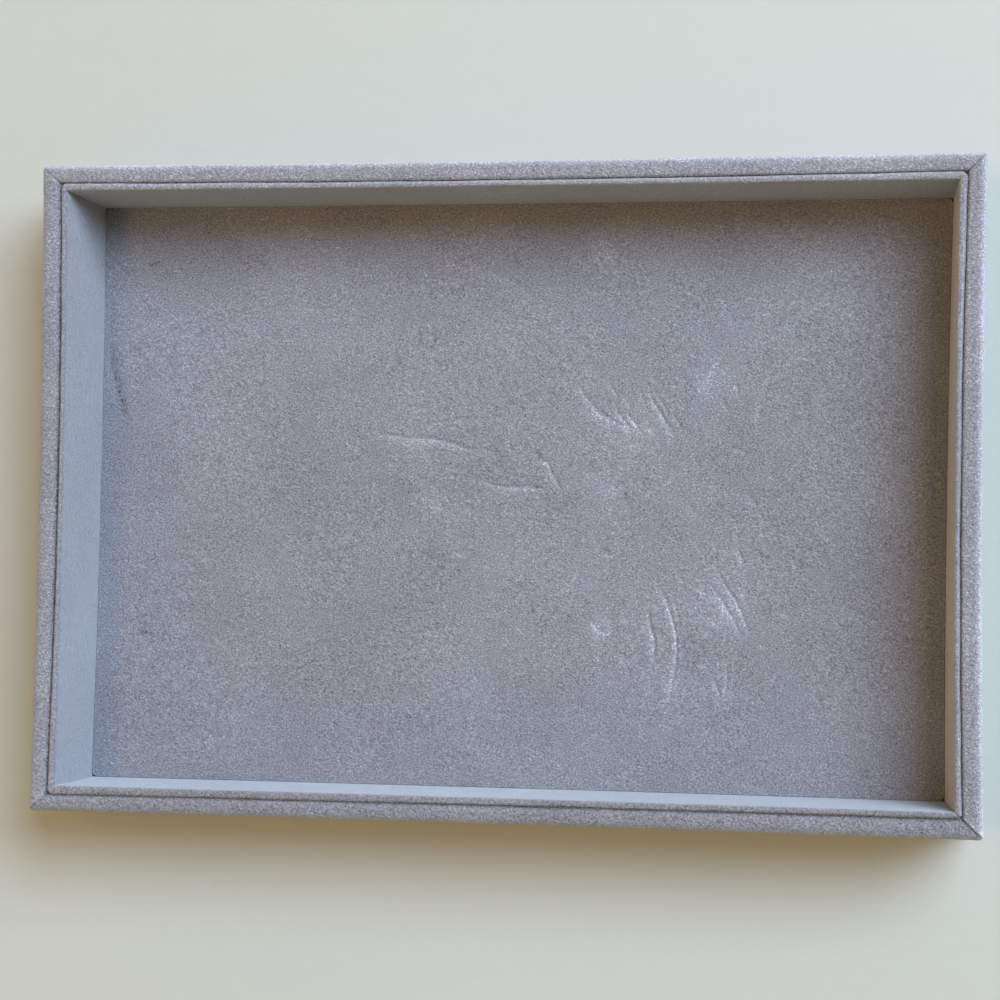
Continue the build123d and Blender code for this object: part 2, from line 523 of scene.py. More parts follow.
def cloth_strip(name, profile, radius, side, seams, corner, seed):
    """Closed cloth of even thickness carried along one side, tucked in at its mitre seams.

    What shows of it is moved along its normals by the seams' rise and fall, the unevenness, which is
    calm beside a seam, the tufts and the puff.
    """
    s = sizes()
    core, normal = profile
    half_run = half_run_of(side)
    outer, facing, from_seam = carry(core, normal, radius, half_run, s.grain, SEAM_ZONE, corner)
    inner_corner = max(corner - CLOTH, LEAST_CORNER)
    inner, _, _ = carry(core, normal, radius - CLOTH, half_run, s.grain, SEAM_ZONE, inner_corner)
    outward = np.clip(-facing[..., 1], 0, 1)
    shown = np.clip(np.clip(facing[..., 2], 0, 1) + outward, 0, 1)
    away = 1 - np.exp(-((from_seam / SEAM_CALM) ** 2))
    uneven = s.unevenness * wander(outer, COVER_WAVES, seed)
    seam = seam_shape(seams, side, outer, from_seam)
    fuzz = s.fuzz * ripples(outer, FUZZ_LENGTH, seed + 2, FUZZ_WAVES)
    # Painted light on the rims, inner faces and outer edges, and painted shade in the groove.
    rubbed, nap = painted_light_and_coarseness(side, outer, facing)
    # Painted shade in the seams' tucks and a painted highlight on their proud edges.
    rubbed += SEAM_PAINTED_SHADE_AND_HIGHLIGHT * seam * shown
    puff = s.puff * outward * np.clip(1.4 - (RIM_Z - outer[..., 2]) / PUFF_HEIGHT, 0, 1)
    shift = s.seam_depth * seam + uneven * away + fuzz + puff
    outer = outer + facing * (shift * shown)[..., None]
    rows, columns = from_seam.shape
    loop = np.concatenate([outer, inner[::-1]])
    quads = grid_faces(2 * rows, columns, wrap=True)
    row = np.arange(rows - 1)
    caps = []
    for column in (0, columns - 1):
        front_edge = row * columns + column
        back_edge = (2 * rows - 1 - row) * columns + column
        cap = np.stack([front_edge, back_edge, back_edge - columns, front_edge + columns], axis=-1)
        caps.append(cap[:, ::-1] if column == 0 else cap)
    quads = np.concatenate([quads, *caps])
    points = bowed(on_side(loop, side)).reshape(-1, 3)
    piece = new_piece(name, points, quads)
    # Painted shade and painted highlights, with the rim's nap, go into this attribute.
    mark(piece, "rubbed", rubbed)
    mark(piece, "nap", nap)
    return piece


def mark(piece, name, values, elsewhere=0.0):
    """Writes one value for each of a piece's first points, and another for the rest of them."""
    every = np.full(len(piece.data.vertices), elsewhere, np.float32)
    every[: values.size] = values.ravel()
    piece.data.attributes.new(name, "FLOAT", "POINT").data.foreach_set("value", every)


# How much paler each side's cloth is painted: on its rim, partly for the nap's direction and partly as
# painted light; on its face inside the tray, as painted light; and along its outer edge, as a painted
# highlight.
RIM_NAP_AND_PAINTED_LIGHT = {"front": -0.22, "right": 0.12, "back": 0.24, "left": 0.15}
PAINTED_FACE_LIGHT = {"front": 0.10, "right": 0.90, "back": 0.50, "left": -0.10}
PAINTED_EDGE_HIGHLIGHT = {"front": 0.0, "right": 2.0, "back": 1.6, "left": 0.2}
# How much painted shade darkens each side's groove.
PAINTED_GROOVE_SHADE = {"front": 2.1, "right": 2.5, "back": 2.0, "left": 1.7}
# Depths below the rim in millimetres: where the painted shade in the groove starts, over how much it
# deepens, and over how much the painted highlight on the outer edge fades.
NOOK_START, NOOK_RANGE, EDGE_RANGE = 0.7, 0.8, 3.8
# How wide the rim's half of the groove is.
NOOK_WIDTH = 3 * MM
# How coarse the nap looks on every face, and how much more so from above and on the faces inside.
COARSE, COARSER_ABOVE, COARSER_INSIDE = 0.85, 0.17, 0.10


def painted_light_and_coarseness(side, places, facing):
    """How pale or dark painted light and the nap make a cover, and how coarse the nap looks.

    The rim is paler or darker by a share that differs from side to side, partly as the cloth was cut in
    different directions and partly as painted light. The faces inside carry painted light: much paler on the
    right and back faces, which are turned from the window, and a little darker on the left one. The outer
    edge that faces the window carries a painted highlight, and the groove between wall and liner painted
    shade. The nap looks a little coarser from above than on upright faces.
    """
    up = np.clip(facing[..., 2], 0, 1)
    out = np.clip(-facing[..., 1], 0, 1)
    drop = (RIM_Z - places[..., 2]) / MM
    in_groove = (places[..., 1] > WALL_BACK - NOOK_WIDTH) & (places[..., 1] < LINER_MIDDLE)
    groove_shade_mask = np.clip((drop - NOOK_START) / NOOK_RANGE, 0, 1) * in_groove
    edge = out**2 * np.exp(-((drop / EDGE_RANGE) ** 2))
    face = np.clip(facing[..., 1], 0, 1) * (1 - groove_shade_mask)
    # Painted light: paler rims, faces and window-side edges, and painted shade in the groove.
    rubbed = RIM_NAP_AND_PAINTED_LIGHT[side] * up + PAINTED_EDGE_HIGHLIGHT[side] * edge + PAINTED_FACE_LIGHT[side] * face - PAINTED_GROOVE_SHADE[side] * groove_shade_mask
    coarse = COARSE + COARSER_ABOVE * up + COARSER_INSIDE * face
    return rubbed, coarse


# Places at which the density of grid lines is worked out, and steps over a rounded edge.
PROBES = 4001
EDGE_STEPS = 6


def plan_lines(half, spacing, edge, focus=None):
    """Grid lines across one size: even, closer inside the focus, and crowding over the rounded edge.

    The focus is its low end, its high end and the spacing inside it, reached over four spacings.
    """
    inside = half - edge
    probe = np.linspace(-inside, inside, PROBES)
    density = np.full(probe.shape, 1 / spacing)
    if focus:
        first, last, fine = focus
        entering = np.clip((probe - first) / (4 * spacing) + 0.5, 0, 1)
        leaving = np.clip((last - probe) / (4 * spacing) + 0.5, 0, 1)
        density += (1 / fine - 1 / spacing) * entering * leaving
    reached = np.concatenate([[0], np.cumsum((density[1:] + density[:-1]) / 2 * np.diff(probe))])
    middle = np.interp(np.linspace(0, reached[-1], math.ceil(reached[-1]) + 1), reached, probe)
    over_edge = inside + edge * np.sin(np.linspace(0, QUARTER, EDGE_STEPS + 1))
    return np.concatenate([-over_edge[:0:-1], middle, over_edge[1:]])


def plan_grid(half_x, half_y, corner, edge, spacing, focus=(None, None)):
    """A grid over a rectangle with round plan corners, and each point's distance from the outline.

    In a corner square, a point keeps its larger coordinate as its distance from the corner's centre,
    so that square rings become round ones.
    """
    lines_x = plan_lines(half_x, spacing, edge, focus[0])
    lines_y = plan_lines(half_y, spacing, edge, focus[1])
    x, y = np.meshgrid(lines_x, lines_y)
    inset = np.minimum(half_x - np.abs(x), half_y - np.abs(y))
    across = np.clip((np.abs(x) - half_x + corner) / corner, 0, None)
    up = np.clip((np.abs(y) - half_y + corner) / corner, 0, None)
    both = (across > 0) & (up > 0)
    scale = np.maximum(across, up) / np.maximum(np.hypot(across, up), 1e-9)
    round_x = np.sign(x) * (half_x - corner + corner * across * scale)
    round_y = np.sign(y) * (half_y - corner + corner * up * scale)
    return np.where(both, round_x, x), np.where(both, round_y, y), np.clip(inset, 0, None)


def outline_of(rows, columns):
    """Indices of a grid's boundary points, once round."""
    index = np.arange(rows * columns).reshape(rows, columns)
    return np.concatenate([index[0, :-1], index[:-1, -1], index[-1, :0:-1], index[:0:-1, 0]])


def drop_of(inset, edge):
    """How far a rounded edge has fallen at a distance in from the outline: a quarter circle."""
    reach = np.clip(edge - inset, 0, edge)
    return edge - np.sqrt(edge**2 - reach**2)


def shrunk(ring, half_x, half_y, corner, inset):
    """A rounded outline drawn in by an inset with its corner radius kept."""
    core_x = np.clip(ring[:, 0], corner - half_x, half_x - corner)
    core_y = np.clip(ring[:, 1], corner - half_y, half_y - corner)
    small_x = core_x * (half_x - corner - inset) / (half_x - corner)
    small_y = core_y * (half_y - corner - inset) / (half_y - corner)
    return np.stack([small_x + ring[:, 0] - core_x, small_y + ring[:, 1] - core_y], axis=1)


def bridged(first, second):
    """Quads between two closed rings of point indices of the same count."""
    return np.stack([first, second, np.roll(second, -1), np.roll(first, -1)], axis=1)


def layer(name, half_x, half_y, corner, edge, spacing, top, bottom, bent=False):
    """A closed flat layer: a top and a bottom grid on one plan, each a height over the plan.

    Both edges are rounded, and a bent layer follows the walls' bow.
    """
    x, y, inset = plan_grid(half_x, half_y, corner, edge, spacing)
    fall = drop_of(inset, edge)
    upper = np.stack([x, y, top(x, y) - fall], axis=-1)
    lower = np.stack([x, y, bottom(x, y) + fall], axis=-1)
    rows, columns = x.shape
    quads = grid_faces(rows, columns)
    shift = rows * columns
    ring = outline_of(rows, columns)
    quads = np.concatenate([quads, quads[:, ::-1] + shift, bridged(ring, ring + shift)])
    points = np.concatenate([upper.reshape(-1, 3), lower.reshape(-1, 3)])
    return new_piece(name, bowed(points) if bent else points, quads)


# Marks on the floor cloth, placed by pixel in the 1000 by 1000 picture

# Each crease is a name, a depth and a width in millimetres, and the pixels that it runs through.
CREASES = (
    ("long drag", 0.40, 1.3, ((380, 434), (398, 436), (412, 438), (428, 438), (445, 441), (462, 446))),
    ("long drag tail", 0.22, 1.2, ((455, 446), (470, 449), (492, 451))),
    ("fold above the pocket", 0.42, 1.1, ((484, 480), (494, 485), (508, 487), (528, 487), (548, 489))),
    ("pocket side", 0.40, 1.0, ((548, 463), (553, 474), (557, 482), (561, 489))),
    ("fan one", 0.45, 0.9, ((580, 387), (585, 397), (592, 407), (601, 415), (612, 421), (624, 426))),
    ("fan two", 0.40, 0.7, ((588, 396), (596, 407), (606, 415), (615, 420))),
    ("fan three", 0.42, 0.7, ((608, 379), (612, 387), (617, 396))),
    ("fan four", 0.50, 0.7, ((617, 410), (623, 419), (630, 428))),
    ("fan five", 0.42, 0.7, ((627, 412), (634, 421), (641, 431))),
    ("fan six", 0.36, 0.7, ((640, 392), (644, 401), (648, 411))),
    ("fan seven", 0.50, 0.8, ((650, 394), (656, 406), (663, 417), (671, 429))),
    ("fan eight", 0.40, 0.7, ((674, 415), (678, 422), (683, 430))),
    ("fan nine", 0.36, 0.7, ((656, 392), (662, 402), (668, 412))),
    ("fan ten", 0.34, 0.8, ((717, 362), (711, 375), (704, 390))),
    ("fan eleven", 0.32, 0.7, ((735, 378), (738, 387), (739, 396))),
    ("fan twelve", 0.34, 0.8, ((760, 404), (759, 414), (757, 424))),
    ("rub one", 0.22, 1.3, ((717, 364), (713, 378), (709, 392))),
    ("rub two", 0.26, 0.8, ((733, 380), (736, 386), (739, 393))),
    ("rub three", 0.24, 1.1, ((773, 370), (769, 384), (764, 398), (760, 416))),
    ("rub four", 0.22, 1.0, ((726, 450), (734, 448), (742, 450))),
    ("rub five", 0.26, 1.0, ((748, 494), (752, 500), (757, 507))),
    ("rub six", 0.20, 0.9, ((690, 505), (694, 511), (698, 517))),
    ("arc one", 0.55, 0.9, ((648, 614), (651, 626), (654, 639), (655, 650), (654, 662))),
    ("arc two", 0.55, 0.9,
        ((661, 590), (667, 602), (672, 616), (676, 634), (677, 652), (675, 670), (669, 700))),
    ("arc two outside", 0.24, 0.8, ((672, 598), (678, 616), (681, 636), (682, 660), (680, 680), (676, 692))),
    ("arc three", 0.42, 0.8, ((718, 572), (727, 588), (737, 602), (744, 618), (749, 634))),
    ("arc four", 0.38, 0.8, ((716, 592), (725, 606), (733, 618), (740, 634))),
    ("arc five", 0.44, 0.8, ((716, 682), (718, 690), (720, 699))),
    ("arc six", 0.40, 0.7, ((738, 549), (741, 556), (743, 563))),
    ("arc seven", 0.38, 0.8, ((727, 664), (727, 680), (725, 698))),
    ("arc eight", 0.24, 0.8, ((734, 676), (733, 684), (732, 693))),
    ("upper drag", 0.26, 1.1, ((478, 265), (494, 273), (511, 281), (524, 289), (534, 297))),
    ("lower drag", 0.16, 1.4, ((466, 617), (482, 613), (500, 611))),
    ("small nick three", 0.26, 0.8, ((211, 511), (219, 514))),
    ("small nick four", 0.26, 0.8, ((266, 638), (274, 642))),
)

# Creases that lie away from the light, and show as one line of painted shade. Their rows are like those
# above.
DARK_CREASES = (
    ("edge crease", 0.42, 1.5, ((113, 346), (114, 362), (117, 378), (121, 396), (127, 420))),
    ("edge crease branch", 0.16, 1.2, ((130, 345), (138, 352), (147, 361))),
    ("small nick one", 0.50, 1.2, ((151, 266), (159, 262))),
    ("small nick two", 0.40, 1.2, ((139, 634), (150, 632))),
)

# The lines painted along a crease that faces the light, and along a dark one: painted highlights and painted
# shade set by the window's direction, and a wider pale band that is partly worn nap and partly painted
# light.
# Each has its shift towards the shade in crease widths, its strength, which is pale above 0, and its own
# width in crease widths.
PAINTED_CREASE_LINES = ((0.5, 1.1, 0.6), (-0.45, -1.8, 0.45), (1.5, 0.7, 2.2))
PAINTED_DARK_CREASE_LINES = ((0.0, -2.4, 0.7), (1.6, 0.3, 0.9))

# How far a crease's line wavers, and the length of its waves.
WAVER, WAVER_LENGTH = 0.22 * MM, 2.8 * MM
# The paler and darker dashes of its painted lines: their length, and their strength's mean, swing and
# limits.
DASH_LENGTH, DASH_MEAN, DASH_SWING, DASH_LIMITS = 2.6 * MM, 0.9, 0.35, (0.2, 1.5)
# Where in a half sine wave a crease starts, how much of the wave it runs through, and the power it is
# raised to.
FADE_START, FADE_RUN, FADE_POWER = 0.12, 0.76, 0.7
# The swell beside a crease, as a share of its depth, and its width in crease widths.
SWELL_SHARE, SWELL_WIDTH = 0.35, 2.4
# The most that wear and painted light make the floor's nap pale or dark.
MOST_WEAR_AND_PAINTED_LIGHT = 1.4

# Each smudge is a name, a strength (pale above 0), a size in millimetres, and its middle's pixel.
SMUDGES = (
    ("rubbed spot one", 0.6, 4.0, (598, 632)),
    ("rubbed spot two", 0.35, 5.0, (604, 250)),
    ("rubbed spot three", 0.35, 8.0, (608, 495)),
    ("rubbed spot four", 0.3, 9.0, (720, 385)),
    ("rubbed spot five", 0.25, 9.0, (420, 447)),
    ("rubbed spot six", 0.3, 6.0, (432, 500)),
    ("rubbed spot seven", 0.3, 9.0, (640, 434)),
    ("rubbed spot eight", 0.25, 8.0, (728, 612)),
    ("flattened spot", -0.3, 8.0, (690, 650)),
)

# Each scuffed spot is a name, how many short strokes, their spread in millimetres, and its middle.
SCUFFED = (
    ("by the pocket", 12, 9.0, (560, 480)),
    ("under the fan", 16, 8.0, (650, 425)),
    ("right of the fan", 14, 12.0, (735, 400)),
    ("above the arcs", 10, 12.0, (620, 500)),
    ("left of the arcs", 16, 12.0, (600, 630)),
    ("by the arcs", 14, 10.0, (730, 620)),
    ("right side", 10, 14.0, (770, 520)),
    ("middle", 12, 16.0, (480, 560)),
    ("left middle", 8, 14.0, (420, 480)),
)

# The corners of the part of the floor that carries most of the creases.
WORN_PART = ((372, 700), (796, 348))


# The camera's sensor and the square picture that the pixels are counted in.
SENSOR_MM, PICTURE_PIXELS = 36.0, 1000.0


def rotation(turn_degrees):
    """The camera's rotation matrix: about X, then Y, then Z."""
    a, b, c = (math.radians(value) for value in turn_degrees)
    about_x = np.array([[1, 0, 0], [0, math.cos(a), -math.sin(a)], [0, math.sin(a), math.cos(a)]])
    about_y = np.array([[math.cos(b), 0, math.sin(b)], [0, 1, 0], [-math.sin(b), 0, math.cos(b)]])
    about_z = np.array([[math.cos(c), -math.sin(c), 0], [math.sin(c), math.cos(c), 0], [0, 0, 1]])
    return about_z @ about_y @ about_x


def on_plane(pixels, height):
    """Plan points at one height that the camera sees at these pixels of the square picture."""
    view = stage_settings()
    pixels = np.array(pixels, float)
    across = (pixels[:, 0] - PICTURE_PIXELS / 2) * SENSOR_MM / PICTURE_PIXELS / view.lens
    up = (PICTURE_PIXELS / 2 - pixels[:, 1]) * SENSOR_MM / PICTURE_PIXELS / view.lens
    rays = np.stack([across, up, -np.ones_like(up)], axis=1) @ rotation(view.camera_turn).T
    place = np.array(view.camera_place)
    return (place + rays * ((height - place[2]) / rays[:, 2])[:, None])[:, :2]


def from_line(x, y, line):
    """Distance of plan points from a run of short lines, and how far along it they lie."""
    best = np.full(x.shape, np.inf)
    share = np.zeros(x.shape)
    steps = np.linalg.norm(np.diff(line, axis=0), axis=1)
    reached = np.concatenate([[0], np.cumsum(steps)]) / steps.sum()
    for k, (start, stop) in enumerate(zip(line[:-1], line[1:])):
        run = stop - start
        t = np.clip(((x - start[0]) * run[0] + (y - start[1]) * run[1]) / (run @ run), 0, 1)
        distance = np.hypot(x - start[0] - t * run[0], y - start[1] - t * run[1])
        closer = distance < best
        best = np.where(closer, distance, best)
        share = np.where(closer, reached[k] + t * (reached[k + 1] - reached[k]), share)
    return best, share


def fading(share):
    """How strong a crease is along its line: most of a half sine wave, raised to a power.

    It is full in the middle and fades towards both ends.
    """
    return np.sin(np.pi * np.clip(FADE_START + FADE_RUN * share, 0, 1)) ** FADE_POWER


def creased(x, y, height):
    """Height of the floor's creases over the plan, and how pale or dark wear and painted light make it.

    A crease is a pressed line, minus a bell curve of the distance from it, on a low and wide swell. A narrow
    painted highlight lies beside it on the side away from the window, a narrow line of painted shade on the
    other side, and a wider pale band, partly worn nap and partly painted light, on the side away from the
    window. A dark crease has a line of painted shade along it and a faint pale one beside it instead. All of
    them waver and break, as the nap does.
    """
    relief = np.zeros(x.shape)
    rubbed = np.zeros(x.shape)
    flat = np.stack([x, y, np.zeros_like(x)], axis=-1)
    broken = np.clip(DASH_MEAN + DASH_SWING * ripples(flat, DASH_LENGTH, CREASE_SEED), *DASH_LIMITS)
    x = x + WAVER * ripples(flat, WAVER_LENGTH, CREASE_SEED + 1)
    y = y + WAVER * ripples(flat, WAVER_LENGTH, CREASE_SEED + 2)
    shade = np.array(stage_settings().window_toward)[:2]
    shade = -shade / np.linalg.norm(shade)
    creases = [(row, PAINTED_CREASE_LINES) for row in CREASES] + [(row, PAINTED_DARK_CREASE_LINES) for row in DARK_CREASES]
    for (_, depth, width, pixels), painted_lines in creases:
        line = on_plane(pixels, height)
        distance, share = from_line(x, y, line)
        near = distance / (width * MM)
        shape = SWELL_SHARE * np.exp(-((near / SWELL_WIDTH) ** 2)) - np.exp(-(near**2))
        relief += MM * depth * fading(share) * shape
        # Painted highlight and painted shade beside the crease, set by the window's direction.
        for shift, strength, spread in painted_lines:
            distance, share = from_line(x, y, line + shift * width * MM * shade)
            bell = np.exp(-((distance / (spread * width * MM)) ** 2))
            rubbed += broken * strength * depth * fading(share) * bell
    for _, strength, size, pixel in SMUDGES:
        spot = on_plane([pixel], height)[0]
        rubbed += strength * np.exp(-(((x - spot[0]) ** 2 + (y - spot[1]) ** 2) / (size * MM) ** 2))
    rubbed += scuffs(x, y, height)
    return relief, np.clip(rubbed, -MOST_WEAR_AND_PAINTED_LIGHT, MOST_WEAR_AND_PAINTED_LIGHT)


# The strokes of the scuffed spots: their mean heading and its spread in radians, their shortest and
# longest reach and their width in millimetres, and the strengths that they are drawn from.
STROKE_HEADING, STROKE_SPREAD = -1.1, 0.6
STROKE_REACH, STROKE_WIDTH = (0.8, 2.4), 0.55
STROKE_STRENGTHS = (0.8, 0.5, -0.7)


def scuffs(x, y, height):
    """Short random strokes, pale or dark, scattered round the middles of the scuffed spots."""
    draw = np.random.default_rng(SCUFF_SEED)
    total = np.zeros(x.shape)
    for _, count, spread, pixel in SCUFFED:
        middle = on_plane([pixel], height)[0]
        for _ in range(count):
            place = middle + draw.normal(size=2) * spread * MM
            heading = draw.normal(STROKE_HEADING, STROKE_SPREAD)
            reach = draw.uniform(*STROKE_REACH) * MM
            strength = draw.choice(STROKE_STRENGTHS)
            along = (x - place[0]) * math.cos(heading) + (y - place[1]) * math.sin(heading)
            across = (y - place[1]) * math.cos(heading) - (x - place[0]) * math.sin(heading)
            total += strength * np.exp(-((along / reach) ** 2) - (across / (STROKE_WIDTH * MM)) ** 2)
    return total


# Pieces

def finished(piece, node, material):
    """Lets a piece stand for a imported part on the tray's one body and its look."""
    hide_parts(node)
    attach(piece, BODY)
    piece.data.materials.append(material)


def wall_profile():
    """Cloth up a wall: in under the base, up outside, over the rim and down inside."""
    s = sizes()
    r, gap = s.rim_radius, s.grain
    foot, top = COVER_Z + r, RIM_Z - r
    back = WALL_BACK - r
    return joined(
        straight((TURN_IN, foot), (r, foot), DOWN, 2 * gap),
        turn((r, foot), DOWN, OUTWARD),
        straight((r, foot), (r, top), OUTWARD, 1.5 * gap),
        turn((r, top), OUTWARD, UP),
        straight((r, top), (back, top), UP, 0.6 * gap),
        turn((back, top), UP, INWARD),
        straight((back, top), (back, RIM_Z - s.rim_turn_down), INWARD, 3 * gap),
    )


def liner_profile():
    """Cloth over a liner strip: up its face, round its top and down its back."""
    s = sizes()
    top = (LINER_MIDDLE, LINER_HIGH.z - LINER_RADIUS)
    end = (LINER_MIDDLE, LINER_HIGH.z - s.liner_turn_down)
    return joined(
        straight((LINER_MIDDLE, LINER_LOW.z), top, INWARD, 1.3 * s.grain),
        turn(top, INWARD, OUTWARD, 16),
        straight(top, end, OUTWARD, 2 * s.grain),
    )


def wrap_side(side, kind, profile, radius, seams, corner, seed):
    """One side's cover: made, bound to the body and given the suede."""
    piece = cloth_strip(f"{side}_{kind}_cloth", profile, radius, side, seams, corner, seed)
    finished(piece, f"{side}_{kind}_cover", suede_material())


class TRAY_OT_boards(bpy.types.Operator):
    """Finish the boards inside the cloth"""

    bl_idname = "tray.boards"
    bl_label = "Boards"

    def execute(self, context):
        for name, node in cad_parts.items():
            if name.endswith("_board"):
                node.data.materials.clear()
                node.data.materials.append(plain_material("fibreboard"))
        return {"FINISHED"}


class TRAY_OT_wall_covers(bpy.types.Operator):
    """Wrap the four walls in mitred cloth"""

    bl_idname = "tray.wall_covers"
    bl_label = "Wall Covers"

    def execute(self, context):
        s = sizes()
        profile = wall_profile()
        for number, side in enumerate(SIDES):
            seed, board = WALL_SEED + number, f"{side}_wall_board"
            wrap_side(side, "wall", profile, s.rim_radius, WALL_SEAMS, s.rim_corner, seed)
        return {"FINISHED"}


class TRAY_OT_liner_cards(bpy.types.Operator):
    """Make the four card strips that stiffen the liner, bowed like its cloth"""

    bl_idname = "tray.liner_cards"
    bl_label = "Liner Cards"

    def execute(self, context):
        for side in SIDES:
            finished(card_strip(side), f"{side}_liner_card", plain_material("card"))
        return {"FINISHED"}


# Spacing of the mesh lines up and along a card strip.
CARD_RISE, CARD_RUN = 4 * MM, 5 * MM


def card_strip(side):
    """An upright strip with a round top, carried along one side and mitred at both ends."""
    half_run = half_run_of(side)
    foot, top = (LINER_MIDDLE, LINER_LOW.z), (LINER_MIDDLE, LINER_HIGH.z - LINER_RADIUS)
    core, normal = joined(
        straight(foot, top, INWARD, CARD_RISE),
        turn(top, INWARD, OUTWARD, 10),
        straight(top, foot, OUTWARD, CARD_RISE),
    )
    places, _, from_seam = carry(core, normal, LINER_RADIUS - CLOTH, half_run, CARD_RUN, CARD_RUN, 0.0)
    rows, columns = from_seam.shape
    first = np.arange(rows) * columns
    points = bowed(on_side(places, side)).reshape(-1, 3)
    ends = [first, first[::-1] + columns - 1]
    return new_piece(f"{side}_card_strip", points, grid_faces(rows, columns, wrap=True), ends)


class TRAY_OT_liner_covers(bpy.types.Operator):
    """Wrap the four liner strips in cloth"""

    bl_idname = "tray.liner_covers"
    bl_label = "Liner Covers"

    def execute(self, context):
        s = sizes()
        profile = liner_profile()
        for number, side in enumerate(SIDES):
            seed, card = LINER_SEED + number, f"{side}_liner_card"
            wrap_side(side, "liner", profile, LINER_RADIUS, LINER_SEAMS, s.liner_corner, seed)
        return {"FINISHED"}


# The cloth run: the sheet's mesh spacing, how high and how long its first waves are, and its frames.
SHEET_SPACING, SHEET_WAVE, SHEET_WAVE_LENGTH, SHEET_FRAMES = 4 * MM, 0.15 * MM, 45 * MM, 20


def swelled(x, y):
    return settle_sheet(x, y, sizes())


def settle_sheet(x, y, s):
    """Cloth run: a slightly wavy sheet pinned round its edge is blown up and comes to rest.

    Its rise is held within the pad's swell by a hyperbolic tangent.
    """
    half_x, half_y = PAD_HALF.x - s.pad_edge, PAD_HALF.y - s.pad_edge
    columns, rows = (math.ceil(2 * half / SHEET_SPACING) + 1 for half in (half_x, half_y))
    line_x, line_y = np.linspace(-half_x, half_x, columns), np.linspace(-half_y, half_y, rows)
    grid_x, grid_y = np.meshgrid(line_x, line_y)
    rest = np.stack([grid_x, grid_y, np.zeros_like(grid_x)], axis=-1)
    rest[..., 2] = SHEET_WAVE * ripples(rest, SHEET_WAVE_LENGTH, SHEET_SEED)
    mesh = bpy.data.meshes.new("floor_sheet")
    mesh.from_pydata(rest.reshape(-1, 3).tolist(), [], grid_faces(rows, columns).tolist())
    sheet = bpy.data.objects.new("floor_sheet", mesh)
    scene = bpy.context.scene
    scene.collection.objects.link(sheet)
    pinned = sheet.vertex_groups.new(name="pinned")
    pinned.add(outline_of(rows, columns).tolist(), 1.0, "REPLACE")
    cloth = sheet.modifiers.new("Cloth", "CLOTH")
    cloth.settings.vertex_group_mass = "pinned"
    cloth.settings.quality = 5
    cloth.settings.mass = 0.05
    cloth.settings.use_pressure = True
    cloth.settings.uniform_pressure_force = 0.015
    cloth.settings.effector_weights.gravity = 0
    cloth.settings.shrink_min = -0.0005
    cloth.point_cache.frame_start = 1
    cloth.point_cache.frame_end = SHEET_FRAMES
    for number in range(1, SHEET_FRAMES + 1):
        scene.frame_set(number)
    moved = sheet.evaluated_get(bpy.context.evaluated_depsgraph_get())
    flat_values = np.empty(rows * columns * 3, np.float32)
    moved.data.vertices.foreach_get("co", flat_values)
    lift = flat_values.reshape(rows, columns, 3)[..., 2].astype(float)
    bpy.data.objects.remove(sheet)
    scene.frame_set(1)
    return sampled(s.pad_swell * np.tanh(lift / s.pad_swell), line_x, line_y, x, y)


def sampled(values, line_x, line_y, x, y):
    """Values on an even grid read at plan points, straight between grid points."""
    across = np.clip((x - line_x[0]) / (line_x[1] - line_x[0]), 0, len(line_x) - 1.001)
    up = np.clip((y - line_y[0]) / (line_y[1] - line_y[0]), 0, len(line_y) - 1.001)
    column, row = across.astype(int), up.astype(int)
    a, b = across - column, up - row
    lower = values[row, column] * (1 - a) + values[row, column + 1] * a
    upper = values[row + 1, column] * (1 - a) + values[row + 1, column + 1] * a
    return lower * (1 - b) + upper * b


# Spacing of the mesh lines on the foam, the floor card and the felt.
FOAM_SPACING, CARD_SPACING, FELT_SPACING = 6 * MM, 8 * MM, 2.5 * MM


class TRAY_OT_floor_pad(bpy.types.Operator):
    """Make the padded floor: the creased cloth, and the foam and the card inside it"""

    bl_idname = "tray.floor_pad"
    bl_label = "Floor Pad"

    def execute(self, context):
        s = sizes()
        cover = floor_cloth(s)
        finished(cover, "floor_cover", suede_material())
        corner, edge = s.pad_corner - CLOTH, s.pad_edge - CLOTH

        def foam_under(x, y):
            """The foam's flat underside, less the fall that a layer adds at its lower edge."""
            inset = np.minimum(FOAM_HIGH.x - np.abs(x), FOAM_HIGH.y - np.abs(y)).clip(0)
            return FOAM_LOW.z - drop_of(inset, edge)

        foam = layer(
            "foam_layer", FOAM_HIGH.x, FOAM_HIGH.y, corner, edge, FOAM_SPACING,
            lambda x, y: FOAM_HIGH.z + 0 * x, foam_under, bent=True,
        )
        finished(foam, "floor_foam", plain_material("foam"))
        card = layer(
            "floor_card_sheet", CARD_HIGH.x, CARD_HIGH.y, corner, HAIR, CARD_SPACING,
            lambda x, y: CARD_HIGH.z + 0 * x, lambda x, y: CARD_FOOT + 0 * x, bent=True,
        )
        finished(card, "floor_card", plain_material("card"))
        return {"FINISHED"}


# The floor's unevenness: the length of each set of waves in millimetres, and its share.
FLOOR_WAVES = ((22, 0.5), (5, 0.3))
# How far in from the pad's edge the floor's unevenness and creases come back in full.
EDGE_CALM = 4 * MM
# How much painted light lightens the cloth over the pad's edge and down its side, against the shade there.
PAD_EDGE_PAINTED_LIGHT = 1.3


